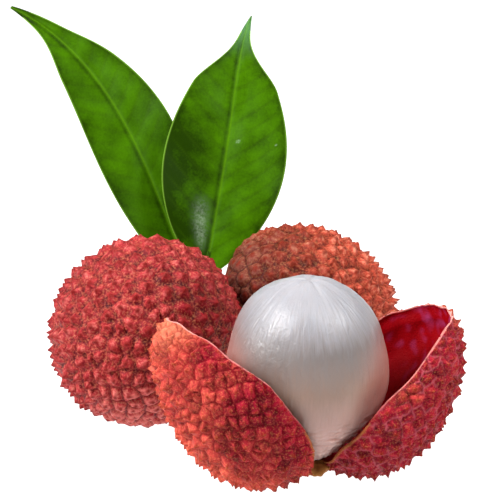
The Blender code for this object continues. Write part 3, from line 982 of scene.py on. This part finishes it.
@dataclass
class PeelCup:
    """One cup of the opened peel: a bowl, scaly outside, with a torn rim."""

    name: str
    side: Side
    hinge: Vector
    turn: float  # heading of the bowl's long axis, from the X axis
    lean: float  # of the bowl's long axis from the vertical
    half_length: float
    half_width: float
    depth: float
    saddle: float  # rise of the rim half-way along
    lip: float  # further rise of the front rim near the hinge
    twist: float  # turns the rim about the bowl's long axis
    seed: int
    wrinkled: float = 0.0  # share of the cracks that stand as pale wrinkles
    tubercles: int = 480
    tip_rise: float = 0.55 * MM
    valley_drop: float = 0.4 * MM
    wall: float = 1.5 * MM
    rim_wall: float = 0.35 * MM
    spike: float = 1.0 * MM  # rise of the sharp tips, which stand a little over the solid's
    fuller: float = 0.2
    inner_share: float = 0.25  # of the sphere that becomes the inner face

    def matrix(self) -> Matrix:
        """Find the bowl's frame.

        Returns:
            It, with X from the hinge to the tip and Z out of its opening.
        """
        heading = Vector((math.cos(self.turn), math.sin(self.turn), 0)) * self.side.value
        along = heading * math.sin(self.lean) + UP * math.cos(self.lean)
        opening = UP * math.sin(self.lean) - heading * math.cos(self.lean)
        opening.rotate(Matrix.Rotation(self.twist, 3, along))
        axes = Matrix((along, opening.cross(along), opening)).transposed().to_4x4()
        return Matrix.Translation(self.hinge + along * self.half_length) @ axes

    def form(self, way: np.ndarray, inset: np.ndarray | float) -> np.ndarray:
        """The bowl's smooth surface, fuller toward the hinge.

        Args:
            way: unit directions from its centre, one a row.
            inset: depth below its outermost form.

        Returns:
            The surface's position along each, in the bowl's frame.
        """
        full = 1 - self.fuller * way[:, 0]
        return np.stack([(self.half_length - inset) * way[:, 0],
                         (self.half_width - inset) * way[:, 1],
                         (self.depth - inset) * way[:, 2] * full], axis=1)

    def rim_height(self, x: np.ndarray, y: np.ndarray) -> np.ndarray:
        """Find how high the torn rim stands.

        Args:
            x: place along the bowl.
            y: place across it.

        Returns:
            The rim's height over the bowl's middle plane.
        """
        along = x / self.half_length
        across = y / self.half_width
        tear = 0.25 * np.sin(9 * along + self.seed) + 0.2 * np.sin(14 * across + self.seed)
        front = smooth_step(0, 0.6, -across * self.side.value)
        lip = self.lip * front * np.exp(-((along + 0.55) / 0.35) ** 2)
        return self.saddle * (1 - along ** 2) + lip + tear * MM

    def rim_angle(self, around: np.ndarray, inset: float) -> np.ndarray:
        """How far up from the bowl's bottom its rim lies.

        Args:
            around: angles about the opening's axis.
            inset: depth below the outermost form.

        Returns:
            Angles from the bottom, at the bowl's centre.
        """
        up = np.full_like(around, math.pi / 2)
        for _ in range(12):
            way = self.ways(around, up)
            place = self.form(way, inset)
            scale = (self.depth - inset) * (1 - self.fuller * way[:, 0])
            up = math.pi / 2 + np.arcsin(np.clip(
                self.rim_height(place[:, 0], place[:, 1]) / scale, -0.9, 0.9))
        return up

    @staticmethod
    def ways(around: np.ndarray, up: np.ndarray) -> np.ndarray:
        """Directions from an angle about the opening's axis and one up from the bottom."""
        return np.stack([np.sin(up) * np.cos(around), np.sin(up) * np.sin(around), -np.cos(up)], 1)

    def tint_and_shade_share(self, points: np.ndarray) -> np.ndarray:
        """How crimson the skin is, with painted light on the left cup.

        Args:
            points: positions in the layout.

        Returns:
            Numbers from 0, coral where painted light falls, to 1, crimson.
        """
        if self.side is Side.LEFT:
            # Painted light: coral toward the lamp on the left, and low down toward the bright floor.
            across = (points[:, 0] + 22 * MM) / (30 * MM)
            high = np.minimum(points[:, 2] / (30 * MM), 0.6)
            mixed = -0.25 + 0.9 * across + 1.05 * high
        else:
            mixed = 1 + 0.4 * smooth_step(14 * MM, 4 * MM, points[:, 2])
        return np.clip(mixed + 0.12 * ripples(points, 9 * MM, self.seed), 0, 1)

    def lit_pale(self, points: np.ndarray, toward_tip: np.ndarray) -> np.ndarray:
        """How much painted light pales the skin: at the tip, and along the left cup's far left,
        which faces the lamp.

        Args:
            points: positions in the layout.
            toward_tip: for each of them, how near it is to the cup's tip.

        Returns:
            Numbers from 0 to 1.
        """
        if self.side is Side.RIGHT:
            return 0.4 * toward_tip ** 3
        left = smooth_step(-17 * MM, -24 * MM, points[:, 0])
        return np.clip(0.65 * toward_tip ** 3 + 0.3 * left, 0, 0.9)

    def shell(self, sphere: np.ndarray) -> Shell:
        """Push the top of a sphere down into its bottom.

        Args:
            sphere: unit directions, one a row.

        Returns:
            The bowl that they become.
        """
        around = np.arctan2(sphere[:, 1], sphere[:, 0])
        inner = sphere[:, 2] > 1 - 2 * self.inner_share
        share = np.where(inner, (1 - sphere[:, 2]) / 2 / self.inner_share,
                         (1 + sphere[:, 2]) / 2 / (1 - self.inner_share))
        limit = np.where(inner, self.rim_angle(around, self.tip_rise + self.rim_wall),
                         self.rim_angle(around, self.tip_rise))
        up = np.arccos(np.clip(1 - np.clip(share, 0, 1) * (1 - np.cos(limit)), -1, 1))
        down = (limit - up) * self.half_width
        wall = self.rim_wall + (self.wall - self.rim_wall) * smooth_step(0, 5 * MM, down)
        half = wall / 2
        round_off = half * (1 - np.sqrt(1 - np.clip(1 - down / half, 0, 1) ** 2))
        inset = self.tip_rise + np.where(inner, wall - round_off, round_off)
        way = self.ways(around, up)
        return Shell(way, inner, down, self.form(way, inset))

    def sphere(self) -> bmesh.types.BMesh:
        """A fine sphere with a ring of edges where it will fold at the rim."""
        bm = fine_sphere(*CUP_MESH)
        for vert in bm.verts:
            vert.co.normalize()
        bmesh.ops.bisect_plane(bm, geom=bm.verts[:] + bm.edges[:] + bm.faces[:], dist=1e-3,
                               plane_co=(0, 0, 1 - 2 * self.inner_share), plane_no=UP)
        bmesh.ops.triangulate(bm, faces=[f for f in bm.faces if len(f.verts) > 3])
        return bm

    def build(self, shift: np.ndarray, flesh: Flesh, finish: bpy.types.Material) -> None:
        """Model and dress the cup.

        Args:
            shift: from the layout to the frame.
            flesh: stays clear of the cup.
            finish: the peel's material.
        """
        bm = self.sphere()
        shell = self.shell(directions(bm))
        outer = ~shell.inner
        outside = self.form(shell.way, self.tip_rise)
        skin = Tubercles(self.tubercles, crowding=1.0, wander_size=2.4 * MM, wander=0.22 * MM,
                         seed=self.seed)
        ground = skin.survey(outside, self.form(skin.ways, self.tip_rise))
        rise = ground.rise
        line = np.exp(-(ground.groove / ((0.13 + 0.05 * self.wrinkled) * MM)) ** 2)
        broken = smooth_step(-0.9, 0.7, ripples(outside, 3 * MM, self.seed + 6))
        shape = (0.15 - 0.1 * self.wrinkled) * smooth_step(0, 0.4, rise)
        shape += 0.35 * rise + 0.7 * rise ** 3
        relief = ground.relief(self.spike, self.valley_drop, shape)
        relief += (0.06 * ripples(outside, 0.8 * MM, self.seed + 5) + 0.13 * ground.streak
                   + (0.38 * self.wrinkled * broken - 0.08) * line) * MM
        relief *= outer * (0.35 + 0.65 * smooth_step(0, 1.2 * MM, shell.down))
        relief += shell.inner * 0.12 * MM * ripples(outside, 5 * MM, self.seed + 7)
        turn = np.array(self.matrix())
        points = (shell.place + shell.way * relief[:, None]) @ turn[:3, :3].T + turn[:3, 3]
        points = flesh.keep_out(points, np.where(shell.inner, GAP, GAP + 0.5 * MM))
        points[:, 2] = np.maximum(points[:, 2], 0)
        along = shell.way[:, 0]
        toward_tip = smooth_step(0.75, 1.0, along)
        torn = smooth_step(0.3 * MM, 0.1 * MM, shell.down)
        long_blots = ripples(outside / np.array((4, 1, 1)), 2.2 * MM, self.seed + 8)
        round_blots = ripples(outside, 4 * MM, self.seed + 9)
        marks = {
            "rise": rise * outer, "cell": ground.cell, "streak": ground.ridges(),
            "inner": shell.inner.astype(float),
            "tint_and_shade": self.tint_and_shade_share(points),
            "lit_pale": self.lit_pale(points, toward_tip),
            "edge": torn * smooth_step(-0.5, 0.1, along) * (0.6 + 0.4 * toward_tip),
            "scar": 0.5 * smooth_step(0.7 * MM, 0.2 * MM, shell.down) * (along < -0.4),
            "crack": 0.8 * line * (1 - self.wrinkled) * (0.5 + 0.5 * ground.cell),
            "wrinkle": 0.6 * line * self.wrinkled * broken,
            "pale": (0.25 * smooth_step(0, 1.6, long_blots)
                     + 0.5 * toward_tip * smooth_step(-0.2, 1, round_blots)),
        }
        settle(finished(self.name, bm, points + shift, marks), "peel", finish)


@dataclass
class OpenedPeel:
    """The opened lychee's peel: two cups and the strip that still joins them."""

    finish: TornPeel = TornPeel()
    bridge_centre: Vector = field(default_factory=lambda: Vector((11.3, -7.8, 3.3)) * MM)
    bridge_turn: float = math.radians(17)
    bridge_half: Vector = field(default_factory=lambda: Vector((3.2, 3.4, 1.3)) * MM)

    def cups(self) -> list[PeelCup]:
        """Both cups."""
        return [
            PeelCup("peel_cup_left", Side.LEFT, hinge=Vector((9.9, -6.0, 2.5)) * MM,
                    turn=math.radians(13.6), lean=math.radians(40), half_length=19.5 * MM,
                    half_width=17.4 * MM, depth=13.4 * MM, saddle=3.0 * MM, lip=0.0,
                    twist=math.radians(10), seed=31),
            PeelCup("peel_cup_right", Side.RIGHT, hinge=Vector((12.5, -6.0, 3.1)) * MM,
                    turn=math.radians(20.5), lean=math.radians(42.5), half_length=18.8 * MM,
                    half_width=17.4 * MM, depth=12.8 * MM, saddle=3.7 * MM, lip=1.0 * MM,
                    twist=math.radians(-7), seed=47, wrinkled=1.0),
        ]

    def build(self, shift: np.ndarray, flesh: Flesh) -> None:
        """Model and dress the peel.

        Args:
            shift: from the layout to the frame.
            flesh: stays clear of the peel.
        """
        finish = self.finish.material()
        for cup in self.cups():
            cup.build(shift, flesh, finish)
        bm = fine_sphere(5, cuts=0)
        way = places(bm)
        turn = np.array(Matrix.Rotation(self.bridge_turn, 3, UP))
        points = way * np.array(self.bridge_half) @ turn.T + np.array(self.bridge_centre)
        points += way * (0.25 * MM * ripples(points, 2 * MM, 5))[:, None]
        points = flesh.keep_out(points, np.full(len(points), GAP)) + shift
        flat = np.zeros(len(points))
        marks = {"rise": flat + 0.5, "tint_and_shade": flat + 0.2, "scar": flat + 0.9, "cell": flat + 0.5}
        settle(finished("peel_bridge", bm, points, marks), "peel", finish)


@dataclass
class Twig:
    """The cut twig and the stalks that carry the whole fruits."""

    node: str = "twig"
    slot: str = "twig_bark"
    finish: TwigBark = TwigBark()
    stalk_radius: float = 1.0 * MM
    calyx_radius: float = 1.7 * MM

    @staticmethod
    def point(place: np.ndarray) -> np.ndarray:
        """Find points on the twig's axis.

        Args:
            place: how far along it, from 0 at its node to 1 at its cut end.

        Returns:
            Their positions in the layout.
        """
        start, end = np.array(NODE_POINT), np.array(TWIG_END)
        line = start + (end - start) * place[:, None]
        line[:, 2] -= TWIG_SAG * np.sin(math.pi * place)
        return line

    def wood(self, shift: np.ndarray) -> bpy.types.Object:
        """Model the cut stem itself.

        Args:
            shift: from the layout to the frame.

        Returns:
            The stem.
        """
        bm = fine_rod(sides=40, cuts=60)
        rod = places(bm)
        place = -0.06 + 1.06 * rod[:, 2]
        path = self.point(place)
        radius = TWIG_RADIUS * (TWIG_SWELL - (TWIG_SWELL - 1) * place)
        radius *= 1 + 0.12 * np.exp(-((place - 0.05) / 0.07) ** 2)
        ridged = np.stack([rod[:, 0] * 4, rod[:, 1] * 4, place * 4], axis=1)
        radius *= 1 + 0.035 * ripples(ridged, 2.2, 91) + 0.02 * ripples(ridged, 0.8, 92)
        middle = np.hypot(rod[:, 0], rod[:, 1])
        cut = (rod[:, 2] > 0.999) & (middle < 0.9)
        marks = {"cut": cut.astype(float), "heart": (middle < 0.3).astype(float)}
        return finished("twig_wood", bm, along_path(rod, path, radius) + shift, marks)

    def stalk(self, fruit: WholeLychee, shift: np.ndarray) -> bpy.types.Object:
        """Model a fruit's stalk, from its calyx to the twig's node.

        Args:
            fruit: the built fruit.
            shift: from the layout to the frame.

        Returns:
            The stalk.
        """
        bm = fine_rod(sides=28, cuts=50)
        rod = places(bm)
        seat = fruit.pole() + unit(fruit.stem) * GAP
        span = np.array(NODE_POINT) - seat
        path = seat + span * rod[:, 2:]
        reach = rod[:, 2] * np.linalg.norm(span)
        calyx = 1 - smooth_step(0.4 * MM, 1.3 * MM, reach)
        radius = self.stalk_radius + (self.calyx_radius - self.stalk_radius) * calyx
        lobes = 1 + 0.1 * calyx * np.cos(5 * np.arctan2(rod[:, 1], rod[:, 0]))
        radius = radius * lobes * (1 + 0.04 * ripples(path, 1.5 * MM, 93))
        none = np.zeros(len(rod))
        return finished(fruit.node + "_stalk", bm, along_path(rod, path, radius) + shift,
                        {"cut": none, "heart": none})

    def build(self, shift: np.ndarray, fruits: list[WholeLychee]) -> None:
        """Model and dress the twig.

        Args:
            shift: from the layout to the frame.
            fruits: the built fruits that hang from it.
        """
        whole = united(self.wood(shift), *[self.stalk(fruit, shift) for fruit in fruits])
        whole.name = "twig_bark"
        settle(whole, self.node, self.finish.material())


@dataclass
class LycheeLeaf:
    """A leaf: waved blade, midrib and petiole."""

    node: str
    finish: WaxyLeaf
    heading: float  # in its plane, from straight up, positive to the right
    length: float
    half_width: float
    bow: float  # sideways bend of the midrib, positive to the right
    hook: float  # sideways turn of the tip
    lean: float  # back from the vertical
    curl: float  # backward bend of the tip
    seat: float  # share of the twig's length behind its node where the petiole starts
    waves: float
    drawn_out: float  # how much the tip is narrowed
    blade_start: float = 3.0 * MM
    fold: float = math.radians(9)
    thickness: float = 0.45 * MM
    rib_radius: float = 0.75 * MM
    vein_gap: float = 4.2 * MM
    low_left_shadow: float = 0.0  # how much painted shadow darkens the green low on the left
    # strength of the painted gloss highlight beside the midrib
    gloss_share: float = 0.0
    # strength of the painted greyish reflection at the tip
    tip_reflection_share: float = 0.0
    seed: int = 61
    slot: str = "leaf_green"

    def axes(self) -> tuple[np.ndarray, ...]:
        """Find the leaf's own axes.

        Returns:
            Across to the right, along the blade, and toward the front.
        """
        up_plane = Vector((0, math.sin(self.lean), math.cos(self.lean)))
        right = Vector((1, 0, 0))
        along = up_plane * math.cos(self.heading) + right * math.sin(self.heading)
        front = right.cross(up_plane)
        return np.array(along.cross(front)), np.array(along), np.array(front)

    def half(self, t: np.ndarray) -> np.ndarray:
        """Half the blade's width along the leaf."""
        round_part = np.maximum(0, np.sin(math.pi * np.maximum(t, 0) ** 0.8))
        return self.half_width * round_part * (1 - self.drawn_out * smooth_step(0.7, 0.9, t))

    def point(self, t: np.ndarray, s: np.ndarray) -> np.ndarray:
        """Find points of the blade's front.

        Args:
            t: place from base to tip.
            s: place across, from -1 to 1.

        Returns:
            Their positions in the layout.
        """
        across, along, front = self.axes()
        half = self.half(t)
        bow = self.bow * np.sin(math.pi * t ** 1.2) + self.hook * t ** 8
        rise = half * np.abs(s) * math.tan(self.fold)
        wave = self.waves * s * s * np.sin(13 * t + 2 * s)
        origin = Twig.point(np.array([self.seat]))[0] + along * self.blade_start
        reach = (self.length - self.blade_start) * t
        return (origin + along * reach[:, None] + across * (bow + half * s)[:, None]
                + front * (rise + wave - self.curl * t ** 3)[:, None])

    def build(self, shift: np.ndarray) -> None:
        """Model and dress the leaf.

        Args:
            shift: from the layout to the frame.
        """
        bm = fine_slab(columns=64, rows=180)
        grid = places(bm)
        s, under = grid[:, 0], grid[:, 2]
        t = 0.006 + 0.979 * grid[:, 1]
        front = self.axes()[2]
        half = self.half(t)
        offset = np.abs(s) * half
        blade = self.thickness * (0.3 + 0.7 * np.sqrt(1 - np.abs(s) ** 8))
        rib = self.rib_radius * (1 - 0.75 * t)
        ridge = 1.2 * np.sqrt(np.maximum(rib ** 2 - offset ** 2, 0))
        midrib = np.exp(-(offset / (0.25 * MM)) ** 2)
        groove = np.exp(-((s * half / MM + 0.7) / 0.4) ** 2)  # painted shadow in the fold left of the midrib
        veins, puff = self.side_veins(t, s, offset)
        depth = np.where(under > 0.5, blade + ridge + 0.10 * MM * veins, 0.10 * MM * midrib)
        depth += (0.02 * veins - 0.025 * puff) * MM
        points = self.point(t, s) - front * depth[:, None]
        crumple = 0.25 * MM * ripples(points, 13 * MM, self.seed) * smooth_step(0, 0.3, np.abs(s))
        points += front * crumple[:, None]
        # pale dots added to the gloss mark: painted glints
        glint_dots = ripples(points, 2.6 * MM, self.seed + 9, 60) > 2.3
        marks = {
            "vein": np.clip(0.27 * midrib + 0.06 * veins, 0, 1),
            "tone": self.shadow(t, s) + 0.4 * groove + 0.22 * smooth_step(0.35, 0.05, puff),
            # painted greyish reflection near the tip
            "fade": 0.75 * self.tip_reflection_share * smooth_step(0.8, 0.97, t),
            "margin": 0.5 * smooth_step(half - 0.3 * MM, half - 0.1 * MM, offset) * (half > 1 * MM),
            "gloss_highlight": self.gloss_highlight(t, s) + 0.3 * glint_dots,
            "under": under,
        }
        blade_piece = finished(self.node + "_blade", bm, points + shift, marks)
        whole = united(blade_piece, self.petiole(shift))
        settle(whole, self.node, self.finish.material())

    def side_veins(self, t: np.ndarray, s: np.ndarray, offset: np.ndarray) -> tuple:
        """Side veins that leave the midrib and bend toward the tip.

        Args:
            t: place from base to tip.
            s: place across, from -1 to 1.
            offset: distance from the midrib.

        Returns:
            How much each point is on a vein, and how much it is on the puffed blade between two.
        """
        lean = offset / math.tan(math.radians(58)) * (1 + 0.35 * np.abs(s))
        start = (self.length * t - lean) / self.vein_gap + 0.5 * (s > 0)
        phase = np.abs(start - np.round(start)) * self.vein_gap
        fade = smooth_step(1.0, 0.75, np.abs(s)) * smooth_step(0, 0.08, t) * smooth_step(1, 0.85, t)
        return np.exp(-(phase / (0.28 * MM)) ** 2) * fade, fade * phase / self.vein_gap * 2

    def shadow(self, t: np.ndarray, s: np.ndarray) -> np.ndarray:
        """Find where the blade is a deeper green.

        Args:
            t: place from base to tip.
            s: place across, from -1 to 1.

        Returns:
            How much deeper it is at each point.
        """
        low = smooth_step(0.72, 0.42, t)
        side = smooth_step(0.1, -0.45, s)
        edge = 0.3 * smooth_step(0.5, 1.0, np.abs(s))
        return self.low_left_shadow * low * side + edge + 0.12 * smooth_step(0.8, 1.0, t)

    def gloss_highlight(self, t: np.ndarray, s: np.ndarray) -> np.ndarray:
        """A painted gloss highlight beside the midrib, low on the blade."""
        along = smooth_step(0.08, 0.16, t) * smooth_step(0.31, 0.2, t)
        return self.gloss_share * along * np.exp(-((s + 0.3) / 0.13) ** 2)

    def petiole(self, shift: np.ndarray) -> bpy.types.Object:
        """Model the leaf's stalk, from the twig into the base of the blade.

        Args:
            shift: from the layout to the frame.

        Returns:
            The stalk.
        """
        bm = fine_rod(sides=20, cuts=30)
        rod = places(bm)
        along, front = self.axes()[1:]
        start = Twig.point(np.array([self.seat]))[0] + along * (TWIG_RADIUS * TWIG_SWELL + GAP)
        flat = np.array([0.1])
        end = self.point(flat, flat * 0)[0] - front * (self.thickness / 2 + 0.2 * MM)
        path = start + (end - start) * rod[:, 2:3]
        radius = self.rib_radius * (1.15 - 0.35 * rod[:, 2])
        radius = radius * (1 + 0.03 * ripples(path, 1.2 * MM, self.seed + 3))
        marks = {"vein": np.full(len(rod), 0.6)}
        return finished(self.node + "_petiole", bm, along_path(rod, path, radius) + shift, marks)


@dataclass(frozen=True)
class Softbox:
    """A square light that faces the bunch."""

    name: str
    place: tuple[float, float, float]
    size: float
    watts: float

    def build(self, aim: Vector) -> None:
        """Set it up.

        Args:
            aim: what it faces.
        """
        lamp = bpy.data.lights.new(self.name, "AREA")
        lamp.size = self.size
        lamp.energy = self.watts
        box = bpy.data.objects.new(self.name, lamp)
        bpy.context.scene.collection.objects.link(box)
        box.location = self.place
        box.rotation_euler = (aim - box.location).to_track_quat("-Z", "Y").to_euler()


@dataclass
class Studio:
    """A pale floor, soft lights and the camera."""

    softboxes: tuple[Softbox, ...] = (
        Softbox("key", (-0.34, -0.16, 0.34), size=0.15, watts=4.1),
        Softbox("fill", (0.34, -0.10, 0.26), size=0.2, watts=0.1),
        Softbox("top", (0.04, 0.10, 0.45), size=0.25, watts=1.0),
        Softbox("glint", (0.26, -0.145, 0.33), size=0.1, watts=1.6))
    sky: float = 0.12
    elevation: float = math.radians(15)
    distance: float = 352 * MM
    target: Vector = field(default_factory=lambda: Vector((0, 0, 42)) * MM)
    lens: float = 140.0

    def build(self, shift: np.ndarray) -> None:
        """Set up the floor, the lights and the camera.

        Args:
            shift: from the layout to the frame.
        """
        scene = bpy.context.scene
        scene.view_settings.view_transform = "Standard"
        self.floor()
        self.world()
        aim = self.target + Vector(shift)
        back = Vector((0, -math.cos(self.elevation), math.sin(self.elevation)))
        camera = bpy.data.cameras.new("camera")
        camera.lens = self.lens
        camera.sensor_width = 36
        camera.clip_start = 0.01
        eye = bpy.data.objects.new("camera", camera)
        scene.collection.objects.link(eye)
        eye.location = aim + back * self.distance
        eye.rotation_euler = (-back).to_track_quat("-Z", "Y").to_euler()
        scene.camera = eye
        for softbox in self.softboxes:
            softbox.build(aim)

    def world(self) -> None:
        """Set up white surroundings."""
        world = bpy.data.worlds.new("studio")
        world.use_nodes = True
        tree = world.node_tree
        wire(tree, tree.nodes["Background"], {"Color": WHITE, "Strength": self.sky})
        bpy.context.scene.world = world

    @staticmethod
    def floor() -> None:
        """Lay a wide pale floor."""
        bm = bmesh.new()
        bmesh.ops.create_grid(bm, x_segments=2, y_segments=2, size=3)
        mesh = bpy.data.meshes.new("floor")
        bm.to_mesh(mesh)
        bm.free()
        floor = bpy.data.objects.new("floor", mesh)
        bpy.context.scene.collection.objects.link(floor)
        mesh.materials.append(PaleFloor().material())


def main() -> None:
    """Build the bunch and its studio, piece by piece."""
    logging.basicConfig(level=logging.INFO, format="%(name)s: %(message)s")
    flesh = Flesh()
    shift = flesh.shift()
    LOG.info("layout to frame: %s mm", np.round(shift / MM, 3))
    Studio().build(shift)
    flesh.build(shift)
    fruits = [
        WholeLychee("fruit_left", "peel_crimson",
                    WholePeel("whole_lychee_peel_pink", pit="#300610", low="#70161C",
                              skin="#9A242A", bright="#C8625C", tip="#700E08", tint_and_shade="#C85890",
                              flecked=0.25, graininess=0.85),
                    x=-20.75 * MM, y=26.2 * MM, stem=Vector((11.7, 22.0, 4.0)),
                    girth=19.05 * MM, half_length=20.6 * MM, seed=11,
                    scaly_side=Vector((0.2, -0.6, -0.8)), shaded_side=Vector((0.75, -0.65, 0.1))),
        WholeLychee("fruit_back", "peel_russet",
                    WholePeel("whole_lychee_peel_russet", pit="#300C08", low="#7A2618",
                              skin="#B44430", bright="#DC8C70", tip="#701C0A", tint_and_shade="#6C4648",
                              flecked=0.2, graininess=0.55),
                    x=11.5 * MM, y=47.5 * MM, stem=Vector((-20.2, 3.0, 6.0)),
                    girth=17.45 * MM, half_length=20.1 * MM, seed=23,
                    scaly_side=Vector((-0.96, -0.1, 0.25)), scaly_from=0.45,
                    shaded_side=Vector((-0.9, -0.3, 0.0)), shaded_from=-0.7),
    ]
    for fruit in fruits:
        fruit.build(shift)
    OpenedPeel().build(shift, flesh)
    Twig().build(shift, fruits)
    LycheeLeaf("leaf_left", WaxyLeaf("waxy_leaf_left", lit="#355E00"),
               heading=math.radians(-30.4), length=79.5 * MM, half_width=9.3 * MM, bow=5.2 * MM,
               hook=-4.0 * MM, lean=math.radians(28), curl=2.0 * MM, seat=0.3, waves=0.4 * MM,
               drawn_out=0.3).build(shift)
    LycheeLeaf("leaf_right", WaxyLeaf("waxy_leaf_right"),
               heading=math.radians(7.2), length=63.5 * MM, half_width=13.1 * MM, bow=1.0 * MM,
               hook=2.6 * MM, lean=math.radians(26), curl=2.5 * MM, seat=0.16, waves=0.5 * MM,
               drawn_out=0.6, low_left_shadow=0.6, gloss_share=0.28, tip_reflection_share=1.0, seed=67).build(shift)


if __name__ == "__main__":
    main()
